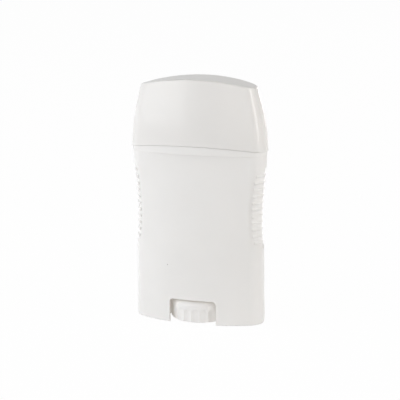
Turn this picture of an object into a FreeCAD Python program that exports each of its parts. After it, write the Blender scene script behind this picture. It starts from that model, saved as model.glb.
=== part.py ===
"""Flat oval twist-up stick: cap, barrel, elevator and feed screw with its thumbwheel.

Millimetres. +Z is up, +X runs along the wide side and -Y is the front. The origin is the centre of
the rim that the pack stands on. Every driving size is a cell of the sheet "Sizes".
"""
import FreeCAD, Part
import math
import os
import Sketcher

Vector = FreeCAD.Vector

SIZES = {
    # outside of the barrel
    "base_width": 62.4,          # plan oval at the foot
    "base_depth": 26.0,
    "end_radius": 8.0,           # radius of the narrow ends in plan
    "heel_height": 27.0,         # the sides rise nearly straight up to here
    "waist_height": 50.0,
    "waist_draw": 0.6,           # how far each narrow end pulls in at the waist
    "waist_draw_depth": 0.35,    # the same for the wide faces
    "flare": 1.25,               # how far each narrow end stands out under the lip, past the foot
    "cove_height": 5.2,          # hollow under the lip on the wide faces
    "cove_depth": 0.9,
    "foot_round": 0.5,
    "lip_inset": 0.05,           # wide faces at the lip, inside those of the foot
    "lip_end_round": 0.2,        # added to the radius of the narrow ends at the lip
    # band round the top of the barrel, arched like the cap
    "lip_height": 80.6,
    "lip_drop": 0.5,             # how much lower the lip is at the narrow ends
    "lip_step": 0.2,
    "lip_bevel": 0.15,
    "seam_height": 84.6,
    "seam_drop": 2.7,
    "seam_gap": 0.15,
    # cap
    "overall_height": 115.0,
    "cap_overhang": 0.25,        # cap past the band at the seam
    "cap_taper": 6.2,            # how much each narrow end leans in at the top
    "cap_taper_depth": 3.65,
    "cap_end_taper": 1.7,        # how much smaller the radius of the narrow ends is at the top
    "cap_top_drop": 3.45,        # arch of the top, middle to narrow ends
    "cap_edge_round": 0.95,
    "cap_wall": 1.1,
    "cap_top_wall": 1.3,
    "cap_rib_width": 1.0,
    "cap_rib_pitch": 4.0,
    "cap_rib_foot": 1.5,         # above the middle of the seam
    "cap_rib_height": 10.0,
    # neck and bore
    "neck_height": 9.0,          # above the middle of the seam
    "neck_wall": 0.95,
    "neck_fit": 0.15,            # neck to cap, wide faces, at the top of the neck
    "neck_bead": 0.7,            # how far the bead stands out
    "neck_bead_root": 2.4,
    "neck_bead_crest": 0.8,
    "bead_gap": 0.1,             # neck bead to the ribs in the cap
    "end_wall": 1.4,             # bore to the floor of the grips
    # floor and wheel well
    "notch_width": 23.0,
    "notch_height": 11.6,
    "notch_corner": 2.0,
    "floor_height": 12.0,
    "floor_wall": 1.6,
    "skirt_wall": 1.6,
    "web_gap": 1.2,              # wheel to the webs beside it
    "web_wall": 1.2,
    "web_lift": 0.3,             # webs stop short of the table
    # grips
    "grip_height": 37.8,         # in the middle of the narrow end
    "grip_width": 14.4,          # half way up
    "grip_end_bow": 2.6,         # how far its top and foot bow out
    "grip_side_bow": 0.4,
    "grip_corner": 2.0,
    "grip_centre": 55.2,
    "grip_depth": 0.5,
    "grip_rib_pitch": 3.15,
    "grip_rib_width": 1.7,       # at the floor of the recess
    "grip_rib_crest": 0.7,       # at the top of the rib
    "grip_rib_sink": 0.12,       # rib crest below the skin beside it
    "grip_margin": 0.9,          # plain floor left round the ribs
    # thumbwheel
    "wheel_stand_out": 0.85,     # past the wide faces of the foot
    "wheel_lift": 1.1,
    "wheel_top": 10.8,
    "wheel_shoulder": 2.4,
    "wheel_foot_bevel": 0.5,
    "flute_radius": 4.4,
    "flute_depth": 0.5,
    "flute_top": 7.6,
    "hollow_inner": 6.0,         # radii of the hollow under the wheel
    "hollow_wall": 2.2,
    "hollow_roof": 1.8,
    "spoke_wall": 1.2,
    "spoke_lift": 0.6,           # spokes stop short of the wheel's foot
    # feed screw
    "running_gap": 0.08,
    "end_float": 0.2,
    "journal_radius": 4.7,
    "collar_wall": 1.3,          # thrust collar past the journal
    "snap_bead": 0.35,
    "snap_bead_height": 1.2,
    "core_radius": 3.4,
    "thread_radius": 4.55,
    "thread_root_width": 2.4,
    "thread_crest_width": 1.3,
    "lead": 6.0,
    "turns": 11.0,
    "thread_sink": 0.3,          # root of the thread inside the core
    "thread_run_on": 3.0,        # thread past the highest nut lug
    "screw_tip": 1.6,
    "screw_tip_bevel": 0.8,
    # elevator
    "elevator_gap": 0.35,
    "wiper_gap": 0.1,
    "wiper_height": 0.8,
    "rim_wall": 1.0,
    "rim_height": 7.0,
    "plate_wall": 1.3,
    "hub_radius": 6.8,
    "fin_wall": 1.0,
    "fin_height": 4.0,
    "lug_fit": 0.25,
    "lug_width": 2.4,
    "lug_root": 0.4,             # lug sunk into the wall of the hub
}

FLUTES = 22
SPOKES = 6
GRIP_RIBS = 11
CAP_RIBS = 3
FLARE_SHARE = 0.46               # part of the flare reached half way from waist to lip
CAP_LEAN = 0.27                  # part of the cap's taper that is straight; the rest curves in
CAP_STATIONS = (0.3, 0.65, 1.05) # shares of the cap's height with a plan of their own
CAP_FOOT = -0.14                 # the same for the cap's lowest plan
CORE_FOOT = -0.2                 # and for that of its hollow
COVE_END_SHARE = 0.25            # part of the cove's depth that reaches the narrow ends
NECK_BEAD_TURN = 100.0           # degrees of each narrow end that the neck's beads cover
OVERSIZE = 20.0                  # how far cutting solids run past what they cut
TOUCH = 1e-6                     # two coordinates this close are the same


# --- document, sheet and expressions ------------------------------------------------------------

doc = FreeCAD.newDocument("twist_up_stick")
sheet = doc.addObject("Spreadsheet::Sheet", "Sizes")
for row, (alias, size) in enumerate(SIZES.items(), start=1):
    sheet.set(f"A{row}", alias)
    sheet.set(f"B{row}", str(size))
    sheet.setAlias(f"B{row}", alias)
doc.recompute()


def value(expression):
    """The number that an expression on the sheet gives now."""
    return float(sheet.evalExpression(expression))


def cells(text):
    """Turn bare size names in an expression into cells of the sheet."""
    words = text.replace("(", " ( ").replace(")", " ) ").split()
    return " ".join(f"Sizes.{word}" if word in SIZES else word for word in words)


def grown(oval, by):
    """The oval whose edge lies the given distance outside another, arc for arc."""
    return tuple(f"({size} + {by})" for size in oval)


def shrunk(oval, by):
    return tuple(f"({size} - {by})" for size in oval)


# Plan ovals: half width, half depth and radius of the narrow ends.
FOOT = (cells("( base_width / 2 )"), cells("( base_depth / 2 )"), cells("end_radius"))
WAIST = (cells("( base_width / 2 - waist_draw )"),
         cells("( base_depth / 2 - waist_draw_depth )"),
         cells("end_radius"))
LIP = (cells("( base_width / 2 + flare )"),
       cells("( base_depth / 2 - lip_inset )"),
       cells("( end_radius + lip_end_round )"))
BAND = grown(LIP, cells("lip_step"))
SEAM = grown(BAND, cells("cap_overhang"))

SEAM_CELL = cells("seam_height")
CAP_RISE = cells("( overall_height - seam_height )")
NECK_TOP = cells("( seam_height + neck_height )")
NECK_SHARE = cells("( neck_height / ( overall_height - seam_height ) )")
NECK = (cells("( base_width / 2 - waist_draw - grip_depth - end_wall + neck_wall )"),
        f"({SEAM[1]} - Sizes.cap_taper_depth * {NECK_SHARE}^2 - Sizes.cap_wall - Sizes.neck_fit)",
        cells("( end_radius - grip_depth - end_wall + neck_wall )"))
BORE = shrunk(NECK, cells("neck_wall"))
FLOOR_TOP = cells("( floor_height + floor_wall )")
WHEEL_RADIUS = cells("( base_depth / 2 + wheel_stand_out )")
HOLE_RADIUS = cells("( journal_radius + running_gap )")
SNAP_FOOT = f"({FLOOR_TOP} + Sizes.end_float)"
ELEVATOR_FOOT = f"({SNAP_FOOT} + Sizes.snap_bead_height + 2 * Sizes.end_float)"
TRAVEL = cells("( lead * turns )")
LUG_HEIGHT = f"({ELEVATOR_FOOT} + Sizes.lead / 2)"
HUB_HEIGHT = cells("( lead * 1.5 )")
THREAD_FOOT = f"({SNAP_FOOT} + Sizes.snap_bead_height)"
THREAD_TOP = f"({LUG_HEIGHT} + Sizes.lead / 2 + {TRAVEL} + Sizes.thread_run_on)"
SCREW_TOP = f"({THREAD_TOP} + Sizes.screw_tip)"


# --- sketches and features ----------------------------------------------------------------------

def new_body(name):
    return doc.addObject("PartDesign::Body", name)


def new_sketch(body, name, role, offset="0"):
    """A sketch on one of the body's own origin planes, moved along the plane's normal."""
    plane = next(part for part in body.Origin.OriginFeatures if part.Role == role)
    sketch = body.newObject("Sketcher::SketchObject", name)
    sketch.AttachmentSupport = [(plane, "")]
    sketch.MapMode = "FlatFace"
    sketch.setExpression("AttachmentOffset.Base.z", offset)
    return sketch


def bind(sketch, label, constraint, expression):
    index = sketch.addConstraint(constraint)
    sketch.renameConstraint(index, label)
    sketch.setExpression(f"Constraints.{label}", expression)


def join(sketch, kind, first, second):
    """Join the end of one curve to the start of the next."""
    sketch.addConstraint(Sketcher.Constraint(kind, first, 2, second, 1))


def face_radius(oval):
    """Radius of the wide front and back arcs, which run tangent into the narrow ends."""
    half_width, half_depth, radius = oval
    return (f"((({half_width} - {radius})^2 + {half_depth}^2 - {radius}^2)"
            f" / (2 * ({half_depth} - {radius})))")


def oval_sketch(body, name, height, oval):
    """Four tangent arcs: two wide flat ones in front and behind, two small ones at the ends."""
    half_width, half_depth, radius = oval
    face = face_radius(oval)
    centre = value(half_width) - value(radius)
    face_centre = value(face) - value(half_depth)
    turn = math.atan2(face_centre, centre)
    sketch = new_sketch(body, name, "XY_Plane", height)

    def arc(x, y, size, start, end):
        circle = Part.Circle(Vector(x, y, 0), Vector(0, 0, 1), size)
        return sketch.addGeometry(Part.ArcOfCircle(circle, start, end))

    right = arc(centre, 0, value(radius), -turn, turn)
    back = arc(0, -face_centre, value(face), turn, math.pi - turn)
    left = arc(-centre, 0, value(radius), math.pi - turn, math.pi + turn)
    front = arc(0, face_centre, value(face), math.pi + turn, 2 * math.pi - turn)
    for first, second in ((right, back), (back, left), (left, front), (front, right)):
        join(sketch, "Tangent", first, second)
    sketch.addConstraint(Sketcher.Constraint("Symmetric", back, 1, back, 2, -2))
    sketch.addConstraint(Sketcher.Constraint("Symmetric", right, 1, right, 2, -1))
    sketch.addConstraint(Sketcher.Constraint("Equal", right, left))
    bind(sketch, "end_radius", Sketcher.Constraint("Radius", right, value(radius)), radius)
    bind(sketch, "face_radius", Sketcher.Constraint("Radius", back, value(face)), face)
    bind(sketch, "end_centre", Sketcher.Constraint("DistanceX", -1, 1, right, 3, centre),
         f"{half_width} - {radius}")
    return sketch


def outline_sketch(body, name, role, corners, offset="0"):
    """A closed outline of straight lines through corners given as pairs of expressions."""
    sketch = new_sketch(body, name, role, offset)
    points = [Vector(value(across), value(up), 0) for across, up in corners]
    count = len(points)
    for index, point in enumerate(points):
        sketch.addGeometry(Part.LineSegment(point, points[(index + 1) % count]))
    for index in range(count):
        join(sketch, "Coincident", index, (index + 1) % count)
    for index, (across, up) in enumerate(corners):
        for kind, axis, number in (("DistanceX", -2, across), ("DistanceY", -1, up)):
            if abs(value(number)) < TOUCH:
                sketch.addConstraint(Sketcher.Constraint("PointOnObject", index, 1, axis))
            else:
                size = Sketcher.Constraint(kind, -1, 1, index, 1, value(number))
                bind(sketch, f"{kind}_{index}", size, number)
    return sketch


def arch_sketch(body, name, middle, drop, half_width, far):
    """The region between an arch, highest in the middle, and a level line far above or below it.

    The arch falls by drop at half_width to either side of the middle.
    """
    radius = f"(({half_width})^2 + ({drop})^2) / (2 * {drop})"
    reach = value(half_width) + OVERSIZE
    size = value(radius)
    centre = value(middle) - size
    turn = math.asin(reach / size)
    corner = centre + size * math.cos(turn)
    level = value(far)
    sketch = new_sketch(body, name, "XZ_Plane")
    circle = Part.Circle(Vector(0, centre, 0), Vector(0, 0, 1), size)
    arch = sketch.addGeometry(Part.ArcOfCircle(circle, math.pi / 2 - turn, math.pi / 2 + turn))
    left = sketch.addGeometry(Part.LineSegment(Vector(-reach, corner, 0), Vector(-reach, level, 0)))
    line = sketch.addGeometry(Part.LineSegment(Vector(-reach, level, 0), Vector(reach, level, 0)))
    right = sketch.addGeometry(Part.LineSegment(Vector(reach, level, 0), Vector(reach, corner, 0)))
    for first, second in ((arch, left), (left, line), (line, right), (right, arch)):
        join(sketch, "Coincident", first, second)
    sketch.addConstraint(Sketcher.Constraint("Vertical", left))
    sketch.addConstraint(Sketcher.Constraint("Vertical", right))
    sketch.addConstraint(Sketcher.Constraint("PointOnObject", arch, 3, -2))
    sketch.addConstraint(Sketcher.Constraint("Horizontal", line))
    bind(sketch, "arch_radius", Sketcher.Constraint("Radius", arch, size), radius)
    bind(sketch, "arch_centre", Sketcher.Constraint("DistanceY", -1, 1, arch, 3, centre),
         f"{middle} - {radius}")
    bind(sketch, "far_level", Sketcher.Constraint("DistanceY", -1, 1, line, 1, level), far)
    bind(sketch, "reach", Sketcher.Constraint("DistanceX", -1, 1, line, 2, reach),
         f"{half_width} + {OVERSIZE}")
    return sketch


def loft(body, name, profiles, kind="PartDesign::AdditiveLoft"):
    feature = body.newObject(kind, name)
    feature.Profile = profiles[0]
    feature.Sections = profiles[1:]
    doc.recompute()
    return feature


def extrude(body, name, sketch, length, kind="PartDesign::Pad", symmetric=False, flip=False):
    """Pad or pocket a sketch. A pocket has to take volume away and a pad has to add some."""
    before = 0 if body.Tip is None else body.Tip.Shape.Volume
    feature = body.newObject(kind, name)
    feature.Profile = sketch
    feature.Refine = False
    feature.Reversed = flip
    if symmetric:
        feature.SideType = "Symmetric"
    feature.setExpression("Length", length)
    doc.recompute()
    gained = feature.Shape.Volume - before
    if (gained > 0) != (kind == "PartDesign::Pad") or abs(gained) < 1e-3:
        raise RuntimeError(f"{name} changes the volume by {gained:.4f}")
    return feature


def pocket(body, name, sketch, length, symmetric=False, flip=False):
    return extrude(body, name, sketch, length, "PartDesign::Pocket", symmetric, flip)


def combine(body, name, kind, tools):
    feature = body.newObject("PartDesign::Boolean", name)
    feature.Type = kind
    feature.addObjects(tools)
    doc.recompute()
    return feature


def edges_where(feature, test):
    """Names of the feature's edges whose points all pass a test."""
    names = []
    for number, edge in enumerate(feature.Shape.Edges, start=1):
        first, last = edge.ParameterRange
        points = [edge.valueAt(first + (last - first) * share) for share in (0.1, 0.35, 0.65, 0.9)]
        if all(test(point) for point in points):
            names.append(f"Edge{number}")
    return names


def dress_edges(body, name, kind, edges, setting, size):
    base = body.Tip
    feature = body.newObject(kind, name)
    feature.Base = (base, edges)
    feature.setExpression(setting, size)
    body.Tip = feature
    doc.recompute()
    return feature


def fillet(body, name, edges, radius):
    return dress_edges(body, name, "PartDesign::Fillet", edges, "Radius", radius)


def bevel(body, name, edges, size):
    return dress_edges(body, name, "PartDesign::Chamfer", edges, "Size", size)


def mirror_over_yz(body, name, features):
    feature = body.newObject("PartDesign::Mirrored", name)
    feature.Originals = features
    side = next(part for part in body.Origin.OriginFeatures if part.Role == "YZ_Plane")
    feature.MirrorPlane = (side, [""])
    body.Tip = feature
    doc.recompute()
    return feature


# --- barrel ------------------------------------------------------------------------------------

def barrel_skin(body, inset):
    """Loft of the barrel's outside from foot to lip, or of a skin a little way inside it."""
    half_flare = cells("( ( lip_height + waist_height ) / 2 )")
    cove_foot = cells("( lip_height - cove_height )")
    flaring = (f"({WAIST[0]} + ({LIP[0]} - {WAIST[0]}) * {FLARE_SHARE})",
               f"({WAIST[1]} - Sizes.cove_depth * {FLARE_SHARE})",
               WAIST[2])
    below_cove = (f"({LIP[0]} - Sizes.cove_depth * {COVE_END_SHARE})",
                  f"({LIP[1]} - Sizes.cove_depth)",
                  WAIST[2])
    between = tuple(f"(({low} + {high}) / 2)" for low, high in zip(FOOT, WAIST))
    stations = (("foot", "0", FOOT),
                ("shin", cells("heel_height / 2"), FOOT),
                ("heel", cells("heel_height"), FOOT),
                ("thigh", cells("( ( heel_height + waist_height ) / 2 )"), between),
                ("waist", cells("waist_height"), WAIST),
                ("flaring", half_flare, flaring),
                ("cove_foot", cove_foot, below_cove),
                ("lip", cells("lip_height"), LIP))
    profiles = [oval_sketch(body, f"{body.Name}_{name}", height, shrunk(oval, inset))
                for name, height, oval in stations]
    return loft(body, f"{body.Name}_loft", profiles)


def make_band():
    """Solid band round the top of the barrel, between the arched lip and the arched seam."""
    body = new_body("band_blank")
    extrude(body, "band_pad",
            oval_sketch(body, "band_oval", cells("( lip_height - lip_drop * 3 )"), BAND),
            cells("( seam_height - lip_height + lip_drop * 4 )"))
    seam = arch_sketch(body, "seam_arch", SEAM_CELL, cells("seam_drop"), BAND[0],
                       f"{SEAM_CELL} + {OVERSIZE}")
    pocket(body, "above_seam", seam, f"{BAND[1]} * 2 + {OVERSIZE}", symmetric=True)
    lip = arch_sketch(body, "lip_arch", cells("lip_height"), cells("lip_drop"), BAND[0],
                      f"Sizes.lip_height - {OVERSIZE}")
    pocket(body, "below_lip", lip, f"{BAND[1]} * 2 + {OVERSIZE}", symmetric=True)
    low = value("Sizes.lip_height - Sizes.lip_drop * 1.2")
    high = value("Sizes.lip_height + Sizes.lip_drop * 0.2")
    bevel(body, "lip_edge", edges_where(body.Tip, lambda p: low < p.z < high), cells("lip_bevel"))
    return body


def grip_rib(middle, side, half_turn):
    """Part of a ring round a narrow end, with sloping flanks and a flat crest, its root below the floor."""
    crest = value(FOOT[2]) - value("Sizes.grip_rib_sink")
    floor = value(FOOT[2]) - value("Sizes.grip_depth")
    root = 2 * floor - crest
    half_crest = value("Sizes.grip_rib_crest") / 2
    half_root = half_crest + (value("Sizes.grip_rib_width") / 2 - half_crest) * 2
    corners = ((root, -half_root), (crest, -half_crest), (crest, half_crest), (root, half_root))
    points = [middle + Vector(side * across, 0, up) for across, up in corners]
    section = Part.Face(Part.makePolygon(points + points[:1]))
    section.rotate(middle, Vector(0, 0, 1), -half_turn)
    return section.revolve(middle, Vector(0, 0, 1), 2 * half_turn)


def grip_prism(inset):
    """Prism along X with the outline of a grip, or one inside it: bowed sides and rounded corners."""
    reach = value(FOOT[0]) + OVERSIZE
    centre = value("Sizes.grip_centre")
    half_width = value("Sizes.grip_width") / 2 - inset
    half_height = value("Sizes.grip_height") / 2 - inset
    across = half_width - value("Sizes.grip_side_bow")
    up = half_height - value("Sizes.grip_end_bow")
    around = ((-across, -up), (0, -half_height), (across, -up), (half_width, 0),
              (across, up), (0, half_height), (-across, up), (-half_width, 0))
    points = [Vector(-reach, y, centre + z) for y, z in around]
    sides = [Part.Arc(points[corner], points[corner + 1], points[(corner + 2) % len(points)]).toShape()
             for corner in range(0, len(points), 2)]
    prism = Part.Face(Part.Wire(sides)).extrude(Vector(2 * reach, 0, 0))
    corners = [edge for edge in prism.Edges if abs(edge.Length - 2 * reach) < TOUCH]
    return prism.makeFillet(value("Sizes.grip_corner"), corners)


def grip_cutter(skin):
    """What is cut from both narrow ends: a shallow recess with a stack of ribs left standing in it.

    The ribs are turned about the centres of the narrow ends, as far as a line inside the recess's edge.
    """
    centre = value("Sizes.grip_centre")
    reach = value(FOOT[0]) + OVERSIZE
    end_radius = value(FOOT[2])
    crest = end_radius - value("Sizes.grip_rib_sink")
    ribbed = grip_prism(value("Sizes.grip_margin"))
    ribs = []
    for index in range(GRIP_RIBS):
        height = centre + (index - (GRIP_RIBS - 1) / 2) * value("Sizes.grip_rib_pitch")
        ray = Part.makeLine(Vector(0, 0, height), Vector(reach, 0, height))
        outside = ray.common(skin).BoundBox.XMax
        level = Part.makeLine(Vector(0, -OVERSIZE, height), Vector(0, OVERSIZE, height))
        half_turn = math.degrees(math.asin(level.common(ribbed).BoundBox.YMax / crest))
        for side in (-1, 1):
            ribs.append(grip_rib(Vector(side * (outside - end_radius), 0, height), side, half_turn))
    inner = barrel_skin(new_body("grip_floor"), cells("grip_depth")).Shape
    return grip_prism(0).cut(inner).cut(Part.makeCompound(ribs))


def make_barrel():
    body = new_body("barrel_moulding")
    skin = barrel_skin(body, "0")
    grips = doc.addObject("Part::Feature", "grip_recesses")
    grips.Shape = grip_cutter(skin.Shape)
    combine(body, "with_band", "Fuse", [make_band()])
    extrude(body, "neck",
            oval_sketch(body, "neck_oval", cells("( lip_height - 1 )"), NECK),
            f"{NECK_TOP} - Sizes.lip_height + 1")
    pocket(body, "bore", oval_sketch(body, "bore_oval", FLOOR_TOP, BORE),
           f"{NECK_TOP} + {OVERSIZE}", flip=True)
    pocket(body, "wheel_well",
           oval_sketch(body, "well_oval", "0", shrunk(FOOT, cells("skirt_wall"))),
           cells("floor_height"), flip=True)
    make_webs(body)
    make_notches(body)
    disc(body, "spindle_hole", "0", HOLE_RADIUS, f"{FLOOR_TOP} * 2", "PartDesign::Pocket", True)
    foot = edges_where(body.Tip, lambda p: abs(p.z) < TOUCH and outside_foot(p))
    fillet(body, "foot_edge", foot, cells("foot_round"))
    make_neck_beads(body)
    barrel = doc.addObject("Part::Feature", "barrel_with_grips")
    barrel.Shape = body.Shape.cut(grips.Shape)
    return barrel


def outside_foot(point):
    """True on the outer edge of the foot, false on the edge of the well inside it."""
    half_width, half_depth, radius = (value(size) for size in FOOT)
    face = value(face_radius(FOOT))
    middle = value("Sizes.skirt_wall") / 2
    from_end = math.hypot(abs(point.x) - (half_width - radius), point.y)
    from_face = math.hypot(point.x, abs(point.y) + face - half_depth)
    return from_end > radius - middle and from_face > face - middle


def make_webs(body):
    """Two upright webs that stiffen the skirt on either side of the wheel."""
    near = f"({WHEEL_RADIUS} + Sizes.web_gap)"
    far = f"({near} + Sizes.web_wall)"
    bow = f"({far}^2 / (2 * {face_radius(FOOT)}))"
    high = f"({FOOT[1]} - {bow} - Sizes.skirt_wall / 2)"
    low = f"-{high}"
    outline = outline_sketch(body, "web_outline", "XY_Plane",
                             [(near, low), (far, low), (far, high), (near, high)],
                             cells("web_lift"))
    web = extrude(body, "web", outline, cells("( floor_height - web_lift + floor_wall / 2 )"))
    mirror_over_yz(body, "webs", [web])


def make_notches(body):
    """Openings in the front and back of the skirt, where the wheel is reached."""
    half = cells("notch_width / 2")
    top = cells("notch_height")
    outline = outline_sketch(body, "notch_outline", "XZ_Plane",
                             [(f"-{half}", f"-{top}"), (half, f"-{top}"),
                              (half, top), (f"-{half}", top)])
    cut = pocket(body, "notches", outline, f"{FOOT[1]} * 2 + {OVERSIZE}", symmetric=True)
    level = value(top)
    side = value(half)
    corners = edges_where(cut, lambda p: abs(p.z - level) < TOUCH and abs(abs(p.x) - side) < TOUCH)
    fillet(body, "notch_corners", corners, cells("notch_corner"))


def make_neck_beads(body):
    """Beads round the narrow ends of the neck, which hold the cap on."""
    middle = cells("( seam_height + neck_height / 2 )")
    axis_x = f"({NECK[0]} - {NECK[2]})"
    root = f"({NECK[0]} - Sizes.neck_wall / 2)"
    crest = f"({NECK[0]} + Sizes.neck_bead)"
    half_root = cells("neck_bead_root / 2")
    half_crest = cells("neck_bead_crest / 2")
    sketch = outline_sketch(body, "neck_bead_outline", "XZ_Plane",
                            [(root, f"{middle} - {half_root}"), (crest, f"{middle} - {half_crest}"),
                             (crest, f"{middle} + {half_crest}"), (root, f"{middle} + {half_root}")])
    start = Vector(value(axis_x), 0, 0)
    line = sketch.addGeometry(Part.LineSegment(start, start + Vector(0, OVERSIZE, 0)), True)
    sketch.addConstraint(Sketcher.Constraint("Vertical", line))
    sketch.addConstraint(Sketcher.Constraint("PointOnObject", line, 1, -1))
    bind(sketch, "axis_x", Sketcher.Constraint("DistanceX", -1, 1, line, 1, start.x), axis_x)
    bind(sketch, "axis_length", Sketcher.Constraint("DistanceY", line, 1, line, 2, OVERSIZE), f"{OVERSIZE}")
    bead = body.newObject("PartDesign::Revolution", "neck_bead")
    bead.Profile = sketch
    bead.ReferenceAxis = (sketch, ["Axis0"])
    bead.Angle = NECK_BEAD_TURN
    bead.Midplane = True
    doc.recompute()
    mirror_over_yz(body, "neck_beads", [bead])


# --- cap ----------------------------------------------------------------------------------------

def cap_oval(share, inset):
    """Plan of the cap at a share of its height above the seam: the sides curve in, more near the top."""
    lean = f"Sizes.cap_taper * ({CAP_LEAN} * {share} + {1 - CAP_LEAN} * {share}^2)"
    width = f"({SEAM[0]} - {lean} - {inset})"
    depth = f"({SEAM[1]} - Sizes.cap_taper_depth * {share}^2 - {inset})"
    radius = f"({SEAM[2]} - Sizes.cap_end_taper * {share}^2 - {inset})"
    return (width, depth, radius)


def cap_blank(name, inset, top, foot_share):
    """Lofted oval from a little below the seam, with its top cut to an arch."""
    body = new_body(name)
    profiles = []
    for number, share in enumerate((foot_share, *CAP_STATIONS), start=1):
        height = f"{SEAM_CELL} + {CAP_RISE} * {share}"
        profiles.append(oval_sketch(body, f"{name}_oval_{number}", height, cap_oval(share, inset)))
    loft(body, f"{name}_loft", profiles)
    half_width = f"({cap_oval(1.0, inset)[0]})"
    arch = arch_sketch(body, f"{name}_arch", top, cells("cap_top_drop"), half_width,
                       f"{top} + {OVERSIZE}")
    pocket(body, f"{name}_top", arch, f"{SEAM[1]} * 2 + {OVERSIZE}", symmetric=True)
    return body


def make_cap():
    body = cap_blank("cap_moulding", "0", cells("overall_height"), CAP_FOOT)
    seam = arch_sketch(body, "cap_seam_arch", cells("( seam_height + seam_gap )"), cells("seam_drop"),
                       BAND[0], f"{SEAM_CELL} - {OVERSIZE}")
    pocket(body, "cap_seam", seam, f"{SEAM[1]} * 2 + {OVERSIZE}", symmetric=True)
    top = value("Sizes.overall_height - Sizes.cap_top_drop * 1.5")
    rim = edges_where(body.Tip, lambda p: p.z > top)
    fillet(body, "cap_edge", rim, cells("cap_edge_round"))
    core = cap_blank("cap_core", cells("cap_wall"), cells("( overall_height - cap_top_wall )"),
                     CORE_FOOT)
    make_rib_slots(core)
    combine(body, "cap_hollow", "Cut", [core])
    return body


def make_rib_slots(core):
    """Slots in the core leave upright ribs at the cap's narrow ends, which slide on the neck's beads."""
    near = f"({NECK[0]} + Sizes.neck_bead + Sizes.bead_gap)"
    far = f"({SEAM[0]} + {OVERSIZE})"
    slots = []
    for index in range(CAP_RIBS):
        middle = f"(Sizes.cap_rib_pitch * {index - (CAP_RIBS - 1) / 2})"
        low = f"({middle} - Sizes.cap_rib_width / 2)"
        high = f"({middle} + Sizes.cap_rib_width / 2)"
        outline = outline_sketch(core, f"rib_outline_{index + 1}", "XY_Plane",
                                 [(near, low), (far, low), (far, high), (near, high)],
                                 cells("( seam_height + cap_rib_foot )"))
        slots.append(pocket(core, f"rib_slot_{index + 1}", outline, cells("cap_rib_height"), flip=True))
    mirror_over_yz(core, "rib_slots", slots)


# --- elevator -----------------------------------------------------------------------------------

def make_elevator():
    """Carrier for the balm: plate, rim with two wipers, fins, and a hub with two nut lugs."""
    body = new_body("elevator_moulding")
    rim = shrunk(BORE, cells("elevator_gap"))
    inside = shrunk(rim, cells("rim_wall"))
    wiper = shrunk(BORE, cells("wiper_gap"))
    rim_top = f"({ELEVATOR_FOOT} + Sizes.rim_height)"
    extrude(body, "rim", oval_sketch(body, "rim_oval", ELEVATOR_FOOT, rim), cells("rim_height"))
    for name, foot in (("lower_wiper", ELEVATOR_FOOT), ("upper_wiper", f"{rim_top} - Sizes.wiper_height")):
        extrude(body, name, oval_sketch(body, f"{name}_oval", foot, wiper), cells("wiper_height"))
    pocket(body, "tray",
           oval_sketch(body, "tray_oval", f"{ELEVATOR_FOOT} + Sizes.plate_wall", inside),
           f"{OVERSIZE}", flip=True)
    disc(body, "hub", ELEVATOR_FOOT, cells("hub_radius"), HUB_HEIGHT)
    make_fins(body, inside)
    disc(body, "hub_bore", ELEVATOR_FOOT, cells("( thread_radius + lug_fit )"), HUB_HEIGHT,
         "PartDesign::Pocket", True)
    make_lugs(body)
    return body


def disc(body, name, foot, radius, height, kind="PartDesign::Pad", flip=False):
    sketch = new_sketch(body, f"{name}_circle", "XY_Plane", foot)
    sketch.addGeometry(Part.Circle(Vector(0, 0, 0), Vector(0, 0, 1), value(radius)))
    sketch.addConstraint(Sketcher.Constraint("Coincident", 0, 3, -1, 1))
    bind(sketch, "radius", Sketcher.Constraint("Radius", 0, value(radius)), radius)
    return extrude(body, name, sketch, height, kind, flip=flip)


def make_fins(body, inside):
    """Fins from the hub to the rim that key the balm to the plate."""
    half = cells("fin_wall / 2")
    foot = f"{ELEVATOR_FOOT} + Sizes.plate_wall / 2"
    reach_x = f"({inside[0]} + Sizes.rim_wall / 2)"
    reach_y = f"({inside[1]} + Sizes.rim_wall / 2)"
    for name, across, deep in (("long_fin", reach_x, half), ("short_fin", half, reach_y)):
        outline = outline_sketch(body, f"{name}_outline", "XY_Plane",
                                 [(f"-{across}", f"-{deep}"), (across, f"-{deep}"),
                                  (across, deep), (f"-{across}", deep)], foot)
        extrude(body, name, outline, cells("fin_height"))


def make_lugs(body):
    """Two lugs inside the hub that ride in the valley of the thread, half a lead apart in height."""
    mean = "((Sizes.thread_radius + Sizes.core_radius) / 2)"
    tilt = f"atan(Sizes.lead / (2 * pi * {mean}))"
    tip = cells("( core_radius + lug_fit )")
    root = cells("( thread_radius + lug_fit + lug_root )")
    valley_tip = "(Sizes.lead - Sizes.thread_root_width)"
    valley_root = "(Sizes.lead - Sizes.thread_crest_width)"
    for side, lift in ((1, "0"), (-1, "Sizes.lead / 2")):
        name = "lug_right" if side > 0 else "lug_left"
        middle = f"({LUG_HEIGHT} + {lift})"
        half_tip = f"({valley_tip} / 2 - Sizes.lug_fit)"
        half_root = f"({valley_root} / 2 - Sizes.lug_fit)"
        outline = outline_sketch(
            body, f"{name}_outline", "XZ_Plane",
            [(f"{side} * {tip}", f"-{half_tip}"), (f"{side} * {root}", f"-{half_root}"),
             (f"{side} * {root}", half_root), (f"{side} * {tip}", half_tip)])
        outline.setExpression("AttachmentOffset.Base.y", middle)
        outline.setExpression("AttachmentOffset.Rotation.Axis.x", "1")
        outline.setExpression("AttachmentOffset.Rotation.Axis.z", "0")
        outline.setExpression("AttachmentOffset.Rotation.Angle", f"{-side} * {tilt}")
        extrude(body, name, outline, cells("lug_width"), symmetric=True)


# --- feed screw and thumbwheel --------------------------------------------------------------------

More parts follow.
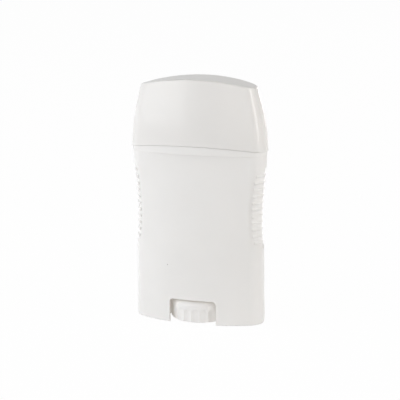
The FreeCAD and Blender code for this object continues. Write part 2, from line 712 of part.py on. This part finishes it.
def make_screw():
    """Wheel, journal, snap bead and threaded spindle, moulded in one."""
    body = new_body("screw_moulding")
    wheel = WHEEL_RADIUS
    collar = cells("( journal_radius + collar_wall )")
    collar_top = cells("( floor_height - end_float )")
    bead = cells("( journal_radius + snap_bead )")
    bead_top = f"({SNAP_FOOT} + Sizes.snap_bead_height)"
    corners = [("0", cells("wheel_lift")), (wheel, cells("wheel_lift")), (wheel, cells("wheel_top")),
               (collar, cells("wheel_top")), (collar, collar_top),
               (cells("journal_radius"), collar_top), (cells("journal_radius"), SNAP_FOOT),
               (bead, f"{SNAP_FOOT} + Sizes.snap_bead"), (cells("core_radius"), bead_top),
               (cells("core_radius"), f"{SCREW_TOP} - Sizes.screw_tip_bevel"),
               (cells("( core_radius - screw_tip_bevel )"), SCREW_TOP), ("0", SCREW_TOP)]
    turned = body.newObject("PartDesign::Revolution", "turned_form")
    turned.Profile = outline_sketch(body, "turned_outline", "XZ_Plane", corners)
    axis = next(part for part in body.Origin.OriginFeatures if part.Role == "Z_Axis")
    turned.ReferenceAxis = (axis, [""])
    turned.Angle = 360
    doc.recompute()
    for level, dress, size in (("wheel_top", fillet, "wheel_shoulder"),
                               ("wheel_lift", bevel, "wheel_foot_bevel")):
        rim = rim_at(body.Tip, value(cells(level)), value(wheel))
        dress(body, f"{level}_edge", rim, cells(size))
    make_flutes(body, axis)
    make_wheel_hollow(body)
    make_thread(body, axis)
    return body


def rim_at(feature, level, radius):
    """The round edges of a turned form at one height and radius."""
    return edges_where(feature, lambda p: abs(p.z - level) < TOUCH
                       and abs(math.hypot(p.x, p.y) - radius) < TOUCH)


def make_flutes(body, axis):
    """One scalloped flute, with a rounded run-out at its top, repeated round the wheel."""
    centre = f"({WHEEL_RADIUS} - Sizes.flute_depth + Sizes.flute_radius)"
    run_out = "sqrt(2 * Sizes.flute_radius * Sizes.flute_depth - Sizes.flute_depth^2)"
    straight_top = f"(Sizes.flute_top - {run_out})"
    inner = f"({WHEEL_RADIUS} - Sizes.flute_depth)"
    sketch = new_sketch(body, "flute_outline", "XZ_Plane")
    low = 0
    high = value(straight_top)
    near = value(inner)
    far = value(centre)
    size = value("Sizes.flute_radius")
    lines = [Part.LineSegment(Vector(far, low, 0), Vector(near, low, 0)),
             Part.LineSegment(Vector(near, low, 0), Vector(near, high, 0)),
             Part.ArcOfCircle(Part.Circle(Vector(far, high, 0), Vector(0, 0, 1), size),
                              math.pi / 2, math.pi),
             Part.LineSegment(Vector(far, high + size, 0), Vector(far, low, 0))]
    bottom, wall, dome, spine = [sketch.addGeometry(line) for line in lines]
    sketch.addConstraint(Sketcher.Constraint("Coincident", bottom, 2, wall, 1))
    sketch.addConstraint(Sketcher.Constraint("Tangent", wall, 2, dome, 2))
    sketch.addConstraint(Sketcher.Constraint("Coincident", dome, 1, spine, 1))
    sketch.addConstraint(Sketcher.Constraint("Coincident", spine, 2, bottom, 1))
    sketch.addConstraint(Sketcher.Constraint("Horizontal", bottom))
    sketch.addConstraint(Sketcher.Constraint("Vertical", wall))
    sketch.addConstraint(Sketcher.Constraint("Vertical", spine))
    sketch.addConstraint(Sketcher.Constraint("PointOnObject", dome, 3, spine))
    bind(sketch, "flute_radius", Sketcher.Constraint("Radius", dome, size), cells("flute_radius"))
    bind(sketch, "spine_x", Sketcher.Constraint("DistanceX", -1, 1, spine, 2, far), centre)
    sketch.addConstraint(Sketcher.Constraint("PointOnObject", bottom, 1, -1))
    bind(sketch, "wall_top", Sketcher.Constraint("DistanceY", -1, 1, wall, 2, high), straight_top)
    before = body.Tip.Shape.Volume
    flute = body.newObject("PartDesign::Groove", "flute")
    flute.Profile = sketch
    flute.ReferenceAxis = (sketch, ["Edge4"])
    flute.Angle = 360
    doc.recompute()
    if flute.Shape.Volume > before - 1:
        raise RuntimeError("the flute cuts nothing")
    ring = body.newObject("PartDesign::PolarPattern", "flutes")
    ring.Originals = [flute]
    ring.Axis = (axis, [""])
    ring.Angle = 360
    ring.Occurrences = FLUTES
    body.Tip = ring
    doc.recompute()


def make_wheel_hollow(body):
    """Ring-shaped hollow under the wheel, left open between moulded spokes."""
    inner = cells("hollow_inner")
    outer = f"({WHEEL_RADIUS} - Sizes.flute_depth - Sizes.hollow_wall)"
    sketch = new_sketch(body, "hollow_rings", "XY_Plane", cells("wheel_lift"))
    for label, radius in (("inner", inner), ("outer", outer)):
        ring = sketch.addGeometry(Part.Circle(Vector(0, 0, 0), Vector(0, 0, 1), value(radius)))
        sketch.addConstraint(Sketcher.Constraint("Coincident", ring, 3, -1, 1))
        bind(sketch, f"{label}_radius", Sketcher.Constraint("Radius", ring, value(radius)), radius)
    depth = cells("( wheel_top - wheel_lift - hollow_roof )")
    pocket(body, "wheel_hollow", sketch, depth, flip=True)
    half = cells("spoke_wall / 2")
    near = cells("( hollow_inner - hollow_wall / 2 )")
    far = f"({outer} + Sizes.hollow_wall / 2)"
    outline = outline_sketch(body, "spoke_outline", "XY_Plane",
                             [(near, f"-{half}"), (far, f"-{half}"), (far, half), (near, half)],
                             cells("( wheel_lift + spoke_lift )"))
    spoke = extrude(body, "spoke", outline,
                    cells("( wheel_top - wheel_lift - spoke_lift - hollow_roof / 2 )"))
    axis = next(part for part in body.Origin.OriginFeatures if part.Role == "Z_Axis")
    spokes = body.newObject("PartDesign::PolarPattern", "spokes")
    spokes.Originals = [spoke]
    spokes.Axis = (axis, [""])
    spokes.Angle = 360
    spokes.Occurrences = SPOKES
    body.Tip = spokes
    doc.recompute()


def make_thread(body, axis):
    """Left-handed thread: turning the wheel anticlockwise, seen from above, lifts the elevator."""
    buried = cells("( core_radius - thread_sink )")
    crest = cells("thread_radius")
    half_root = cells("thread_root_width / 2")
    half_crest = cells("thread_crest_width / 2")
    # The valley, half a lead above the ridge at the right-hand side, meets the right-hand lug.
    turns_below = math.floor(value(f"({LUG_HEIGHT} - {THREAD_FOOT}) / Sizes.lead - 0.5"))
    ridge = f"({LUG_HEIGHT} - Sizes.lead * {turns_below + 0.5})"
    outline = outline_sketch(body, "thread_outline", "XZ_Plane",
                             [(buried, f"{ridge} - {half_root}"), (crest, f"{ridge} - {half_crest}"),
                              (crest, f"{ridge} + {half_crest}"), (buried, f"{ridge} + {half_root}")])
    thread = body.newObject("PartDesign::AdditiveHelix", "thread")
    thread.Profile = outline
    thread.ReferenceAxis = (axis, [""])
    thread.Mode = "pitch-height-angle"
    thread.setExpression("Pitch", cells("lead"))
    thread.setExpression("Height", f"{THREAD_TOP} - {ridge}")
    thread.LeftHanded = True
    doc.recompute()


# --- named sub-parts, checks and files ------------------------------------------------------------

def finish(part, label):
    """Give a finished sub-part its own name and its place in the pack's frame."""
    part.Label = label
    part.Placement = FreeCAD.Placement()
    return part


parts = [finish(make_barrel(), "barrel"),
         finish(make_cap(), "cap"),
         finish(make_elevator(), "elevator"),
         finish(make_screw(), "thumbwheel_screw")]
doc.recompute()

for item in doc.Objects:
    if "Invalid" in item.State or "Error" in item.State:
        raise RuntimeError(f"{item.Label} failed: {item.State}")
os.makedirs("parts", exist_ok=True)
for part in parts:
    if part.Shape.isNull() or not part.Shape.isValid() or len(part.Shape.Solids) != 1:
        raise RuntimeError(f"{part.Label} is not one valid solid")
    part.Shape.exportStep(f"parts/{part.Label}.step")
    print(f"{part.Label}: {part.Shape.Volume / 1000:.2f} cm3, {len(part.Shape.Faces)} faces")
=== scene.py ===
"""Finish, floor, light and camera for an empty flat oval twist-up balm container.

Metres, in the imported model's frame: +Z up, +X along the wide side, -Y the front. The four
mouldings keep the shapes they have in the CAD model; this file gives them their plastics.
"""
import math

import bpy
from mathutils import Matrix, Vector

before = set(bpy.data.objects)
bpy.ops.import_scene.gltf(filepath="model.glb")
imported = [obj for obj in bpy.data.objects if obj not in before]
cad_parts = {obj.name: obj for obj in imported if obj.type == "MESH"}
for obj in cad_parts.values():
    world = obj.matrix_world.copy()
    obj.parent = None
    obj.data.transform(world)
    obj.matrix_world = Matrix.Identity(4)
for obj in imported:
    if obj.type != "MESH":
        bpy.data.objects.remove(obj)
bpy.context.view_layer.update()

MM = 0.001

# Camera: turned to the right of the front and a little above it.
CAMERA_AZIMUTH = 19.0            # degrees from the front, towards +X
CAMERA_ELEVATION = 12.72         # degrees above the floor
CAMERA_ROLL = -0.007             # radians
CAMERA_DISTANCE = 680.5 * MM
NEAREST = 10 * MM                # the camera sees nothing that is closer
FOCAL_LENGTH = 130.66            # this and the sensor's width count in millimetres
SENSOR_WIDTH = 36.0
AIM = Vector((0.0, 0.0, 57.0 * MM))
AIM_SHIFT = 0.03 * MM            # to the camera's right


# --- shader nodes ---------------------------------------------------------------------------------

class Socket:
    """An output of a node, which Python's own operators can be used on."""

    def __init__(self, recipe, output):
        self.recipe = recipe
        self.output = output

    def math(self, operation, *values):
        return self.recipe.node("ShaderNodeMath", {"operation": operation}, values)

    def __add__(self, other):
        return self.math("ADD", self, other)

    def __radd__(self, other):
        return self.math("ADD", other, self)

    def __sub__(self, other):
        return self.math("SUBTRACT", self, other)

    def __rsub__(self, other):
        return self.math("SUBTRACT", other, self)

    def __mul__(self, other):
        return self.math("MULTIPLY", self, other)

    def __rmul__(self, other):
        return self.math("MULTIPLY", other, self)

    def size(self):
        return self.math("ABSOLUTE", self)

    def largest(self, other):
        return self.math("MAXIMUM", self, other)

    def beside(self, name):
        """Another output of the same node."""
        return Socket(self.recipe, self.output.node.outputs[name])


class Recipe:
    """The node tree of one material, or of the world."""

    def __init__(self, tree):
        self.tree = tree
        tree.nodes.clear()

    def node(self, kind, settings=None, values=(), output=0):
        """Add a node: its settings first, then its sockets' values or links, by place or by name."""
        made = self.tree.nodes.new(kind)
        for name, setting in (settings or {}).items():
            setattr(made, name, setting)
        pairs = values.items() if isinstance(values, dict) else enumerate(values)
        for key, given in pairs:
            if isinstance(given, Socket):
                self.tree.links.new(given.output, made.inputs[key])
            else:
                made.inputs[key].default_value = given
        return Socket(self, made.outputs[output]) if made.outputs else None

    def mix_colours(self, share, first, second):
        """Go from the first colour to the second. The figures are the node's colour sockets."""
        return self.node("ShaderNodeMix", {"data_type": "RGBA"}, {0: share, 6: first, 7: second}, 2)

    def noise(self, place, size, detail=2.0):
        """Noise whose blotches are about the given size across, from 0 to 1 round 0.5."""
        return self.node("ShaderNodeTexNoise", {},
                         {"Vector": place, "Scale": 1 / size, "Detail": detail}, "Fac")

    def scaled(self, place, factors):
        """A place with each axis multiplied by its own factor."""
        return self.node("ShaderNodeMapping", {"vector_type": "POINT"},
                         {"Vector": place, "Scale": factors})

    def smooth_step(self, value, low, high, first=0.0, last=1.0):
        """A value's smooth run from the first figure to the last as it goes from low to high."""
        return self.node("ShaderNodeMapRange", {"interpolation_type": "SMOOTHSTEP"},
                         [value, low, high, first, last])


def new_material(name):
    material = bpy.data.materials.new(name)
    material.use_nodes = True
    return material, Recipe(material.node_tree)


# --- moulded plastics -----------------------------------------------------------------------------

# The plastics' own colours, linear.
WHITE = (0.84, 0.831, 0.823)           # satin off-white polypropylene
CAP_WHITE = (0.8, 0.788, 0.777)        # darker, because the cap's glossier skin lightens it
INNER_WHITE = (0.84, 0.8185, 0.7983)   # natural resin, a little warmer

CLOUD = 0.025                    # how far the colour strays where the pigment clouds
REFRACTION = 1.49                # index of refraction of polypropylene
POLISH_ROUGHNESS = 0.1           # of the thin glossy skin that the mould leaves
TRANSLUCENCY = 0.12              # share of the light that goes through the skin
SCATTER = (1.0, 0.93, 0.86)      # how far red, green and blue travel in it, against each other
SCATTER_DEPTH = 0.6 * MM

BLOTCH = 22 * MM                 # where the melt flowed and cooled
BLOTCH_ROUGHNESS = 0.05          # how far the roughness strays with it
SINK = 15 * MM                   # across the faint waves in a thin wall
SINK_DEPTH = 0.05 * MM
SINK_STRENGTH = 0.5
GRAIN = 0.4 * MM                 # the mould's spark-eroded skin
GRAIN_DEPTH = 0.02 * MM

RUB = 0.5 * MM                   # between the hairlines that handling leaves
RUB_LENGTH = 9 * MM
RUB_ROUGHNESS = 0.08             # what a hairline adds to the roughness
RUB_EDGE = (0.56, 0.72)          # noise at which a hairline starts and is full
PATCH = 66 * MM                  # across the patches where the hairlines gather
PATCH_EDGE = (0.42, 0.62)        # noise at which a patch starts and is full

# A dark speck in the barrel's face: its middle and its radius.
SPECK = (Vector((-12.2, -11.8, 27.8)) * MM, 0.35 * MM)
SPECK_CORE = 0.5                 # share of the radius that is fully dark
SPECK_COLOUR = (0.5, 0.49, 0.48, 1.0)

# The wheel well: a faint warm glow is painted on its surfaces. This painted light lightens the shade in it
# and stands in for light through its thin walls.
WELL_PAINTED_LIGHT = (0.08, 0.073, 0.064, 1.0)
BLACK = (0.0, 0.0, 0.0, 1.0)
WELL_TOP = 12.3 * MM
WELL_HALF_DEPTH = 12.2 * MM      # in the middle; the skirt is shallower towards its ends
WELL_HALF_WIDTH = 19 * MM
WELL_BOW = 71 * MM               # radius of its long sides in plan
WELL_EDGE = 0.4 * MM


# Mask of the wheel well, where the painted light glows.
def in_well(recipe, place):
    """1 inside the wheel well and 0 outside it."""
    x = recipe.node("ShaderNodeSeparateXYZ", {}, [place])
    y, z = x.beside("Y"), x.beside("Z")
    outwards = y.size() + x * x * (0.5 / WELL_BOW)
    within = recipe.smooth_step(outwards, WELL_HALF_DEPTH - WELL_EDGE, WELL_HALF_DEPTH, 1.0, 0.0)
    between = recipe.smooth_step(x.size(), WELL_HALF_WIDTH - WELL_EDGE, WELL_HALF_WIDTH, 1.0, 0.0)
    below = recipe.smooth_step(z, WELL_TOP - WELL_EDGE, WELL_TOP, 1.0, 0.0)
    return within * between * below


def pigment(recipe, place, flow, tint, spot):
    """The plastic's colour, clouded with the melt's flow, and dark at the spot if there is one."""
    light = [level * (1 + CLOUD) for level in tint]
    dark = [level * (1 - CLOUD) for level in tint]
    colour = recipe.mix_colours(flow, (*dark, 1.0), (*light, 1.0))
    if spot is None:
        return colour
    middle, radius = spot
    away = recipe.node("ShaderNodeVectorMath", {"operation": "DISTANCE"}, [place, middle], "Value")
    speck = recipe.smooth_step(away, SPECK_CORE * radius, radius, 1.0, 0.0)
    return recipe.mix_colours(speck, colour, SPECK_COLOUR)


def hairlines(recipe, place):
    """1 on the fine upright lines that handling rubs into the plastic, and 0 beside them."""
    strokes = recipe.scaled(place, (1 / RUB, 1 / RUB, 1 / RUB_LENGTH))
    lines = recipe.smooth_step(recipe.noise(strokes, 1.0, detail=3.0), *RUB_EDGE)
    patches = recipe.smooth_step(recipe.noise(place, PATCH), *PATCH_EDGE)
    return lines * patches


def moulded_skin(recipe, place, grain):
    """The normal of a skin with faint waves and a fine grain on them."""
    waves = recipe.noise(place, SINK, detail=1.0)
    undulating = recipe.node("ShaderNodeBump", {}, {
        "Strength": SINK_STRENGTH, "Distance": SINK_DEPTH, "Height": waves}, "Normal")
    return recipe.node("ShaderNodeBump", {}, {
        "Strength": grain, "Distance": GRAIN_DEPTH, "Height": recipe.noise(place, GRAIN),
        "Normal": undulating}, "Normal")


def plastic(name, tint, roughness, polish, grain, rubbed, spot=None, painted_well_light=None):
    """Moulded polypropylene: clouded pigment, a fine grain, faint waves and rubbed hairlines.

    Polish is the weight of the glossy skin, grain the strength of the fine bumps, and rubbed how far
    the hairlines show. The spot is the middle and the radius of a dark speck in the moulding. The well
    light is a warm glow painted into the wheel well: painted light that lightens the shade there.
    """
    material, recipe = new_material(name)
    place = recipe.node("ShaderNodeTexCoord", output="Object")
    flow = recipe.noise(place, BLOTCH, detail=3.0)
    worn = hairlines(recipe, place) * rubbed
    sockets = {
        "Base Color": pigment(recipe, place, flow, tint, spot),
        "Roughness": roughness + BLOTCH_ROUGHNESS * (flow - 0.5) + RUB_ROUGHNESS * worn,
        "IOR": REFRACTION,
        "Coat Weight": polish,
        "Coat Roughness": POLISH_ROUGHNESS,
        "Subsurface Weight": TRANSLUCENCY,
        "Subsurface Radius": SCATTER,
        "Subsurface Scale": SCATTER_DEPTH,
        "Normal": moulded_skin(recipe, place, grain),
    }
    # Painted light: a faint glow in the wheel well that lightens its shade.
    if painted_well_light:
        sockets["Emission Color"] = recipe.mix_colours(in_well(recipe, place), BLACK, painted_well_light)
        sockets["Emission Strength"] = 1.0
    shade = recipe.node("ShaderNodeBsdfPrincipled", {"subsurface_method": "RANDOM_WALK"}, sockets, "BSDF")
    recipe.node("ShaderNodeOutputMaterial", {}, {"Surface": shade})
    return material


FINISHES = {
    "barrel": plastic("barrel_plastic", WHITE, roughness=0.36, polish=0.3, grain=0.25, rubbed=1.0,
                      spot=SPECK, painted_well_light=WELL_PAINTED_LIGHT),
    "cap": plastic("cap_plastic", CAP_WHITE, roughness=0.33, polish=0.45, grain=0.15, rubbed=0.8),
    "elevator": plastic("inner_plastic", INNER_WHITE, roughness=0.45, polish=0.1, grain=0.35, rubbed=0.2),
    "thumbwheel_screw": plastic("wheel_plastic", WHITE, roughness=0.38, polish=0.2, grain=0.25, rubbed=0.6,
                                painted_well_light=WELL_PAINTED_LIGHT),
}

for name, finish in FINISHES.items():
    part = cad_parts[name]
    part.data.materials.clear()
    part.data.materials.append(finish)


# --- floor, light and camera ----------------------------------------------------------------------

FLOOR_SIZE = 6.0                 # metres
FLOOR_PAINT = (0.9, 0.9, 0.9, 1.0)
FLOOR_GLOW = 0.98                # share of the floor that shows as plain white
SOFT_LIGHT = 0.372               # the room's light on the pack
CEILING_SHADE = 0.9              # how much darker the room is overhead than all round
CEILING_EDGE = (0.2, 0.9)        # sines of the elevations where that shade starts and is full
MIRROR_SHADE = 0.25              # how much darker the room is in the pack's own gloss
PURE_WHITE = (1.0, 1.0, 1.0, 1.0)

PLAIN = (1.0, 1.0, 1.0)
COOL = (0.985, 0.995, 1.0)
WARM = (1.0, 0.97, 0.925)

# Soft boxes round the pack, each by its name, azimuth and elevation in degrees, distance, width and
# height in metres, watts, tint, and whether it shows in the pack's gloss.
LAMPS = (
    ("front_left", -44, 30, 1.2, (0.9, 1.4), 6.95, COOL, True),
    ("left", -78, 20, 1.2, (0.8, 1.2), 5.75, COOL, False),
    ("front_right", 24, 15, 1.3, (0.9, 1.2), 2.5, WARM, True),
    ("right", 77, 9, 1.2, (0.2, 1.3), 5.6, WARM, True),
    ("behind_right", 98, 37, 1.2, (0.5, 0.6), 3.3, WARM, True),
    ("behind", 168, 2, 1.4, (0.5, 1.0), 4.0, PLAIN, True),
)


def direction(azimuth, elevation):
    """Unit vector from the pack, by degrees round from the front and degrees up."""
    turn, tilt = math.radians(azimuth), math.radians(elevation)
    return Vector((math.sin(turn) * math.cos(tilt), -math.cos(turn) * math.cos(tilt), math.sin(tilt)))


def shown_white(recipe):
    """1 for the camera's own rays and for those that gloss or glass sends on."""
    camera = recipe.node("ShaderNodeLightPath", output="Is Camera Ray")
    return camera.largest(camera.beside("Is Glossy Ray")).largest(camera.beside("Is Transmission Ray"))


def make_floor():
    bpy.ops.mesh.primitive_plane_add(size=FLOOR_SIZE, location=(0, 0, 0))
    floor = bpy.context.object
    floor.name = "floor"
    material, recipe = new_material("white_floor")
    paint = recipe.node("ShaderNodeBsdfDiffuse", {}, {"Color": FLOOR_PAINT})
    glow = recipe.node("ShaderNodeEmission", {}, {"Color": PURE_WHITE, "Strength": 1.0})
    mixed = recipe.node("ShaderNodeMixShader", {}, [shown_white(recipe) * FLOOR_GLOW, paint, glow])
    recipe.node("ShaderNodeOutputMaterial", {}, {"Surface": mixed})
    floor.data.materials.append(material)


def make_world():
    world = bpy.data.worlds.new("studio")
    bpy.context.scene.world = world
    world.use_nodes = True
    recipe = Recipe(world.node_tree)
    way = recipe.node("ShaderNodeTexCoord", output="Generated")
    height = recipe.node("ShaderNodeSeparateXYZ", {}, [way], "Z")
    overhead = recipe.smooth_step(height, *CEILING_EDGE)
    mirrored = recipe.node("ShaderNodeLightPath", output="Is Glossy Ray")
    all_round = SOFT_LIGHT + (1 - SOFT_LIGHT) * shown_white(recipe)
    strength = all_round * (1 - CEILING_SHADE * overhead) * (1 - MIRROR_SHADE * mirrored)
    glow = recipe.node("ShaderNodeBackground", {}, {"Color": PURE_WHITE, "Strength": strength})
    recipe.node("ShaderNodeOutputWorld", {}, {"Surface": glow})


def softbox(name, azimuth, elevation, distance, size, power, tint, in_gloss):
    """A rectangular lamp that faces the middle of the pack."""
    data = bpy.data.lights.new(name, "AREA")
    data.shape = "RECTANGLE"
    data.size, data.size_y = size
    data.energy = power
    data.color = tint
    lamp = bpy.data.objects.new(name, data)
    bpy.context.scene.collection.objects.link(lamp)
    lamp.visible_glossy = in_gloss
    away = direction(azimuth, elevation)
    lamp.location = AIM + away * distance
    lamp.rotation_euler = away.to_track_quat("Z", "Y").to_euler()


def make_camera():
    back = direction(CAMERA_AZIMUTH, CAMERA_ELEVATION)
    right = direction(CAMERA_AZIMUTH + 90, 0)
    up = back.cross(right)
    data = bpy.data.cameras.new("camera")
    data.sensor_width = SENSOR_WIDTH
    data.lens = FOCAL_LENGTH
    data.clip_start = NEAREST
    camera = bpy.data.objects.new("camera", data)
    bpy.context.scene.collection.objects.link(camera)
    axes = Matrix((right, up, back)).transposed() @ Matrix.Rotation(CAMERA_ROLL, 3, "Z")
    seat = AIM + right * AIM_SHIFT + back * CAMERA_DISTANCE
    camera.matrix_world = Matrix.Translation(seat) @ axes.to_4x4()
    bpy.context.scene.camera = camera


make_floor()
make_world()
for lamp in LAMPS:
    softbox(*lamp)
make_camera()

bpy.context.scene.view_settings.view_transform = "Standard"
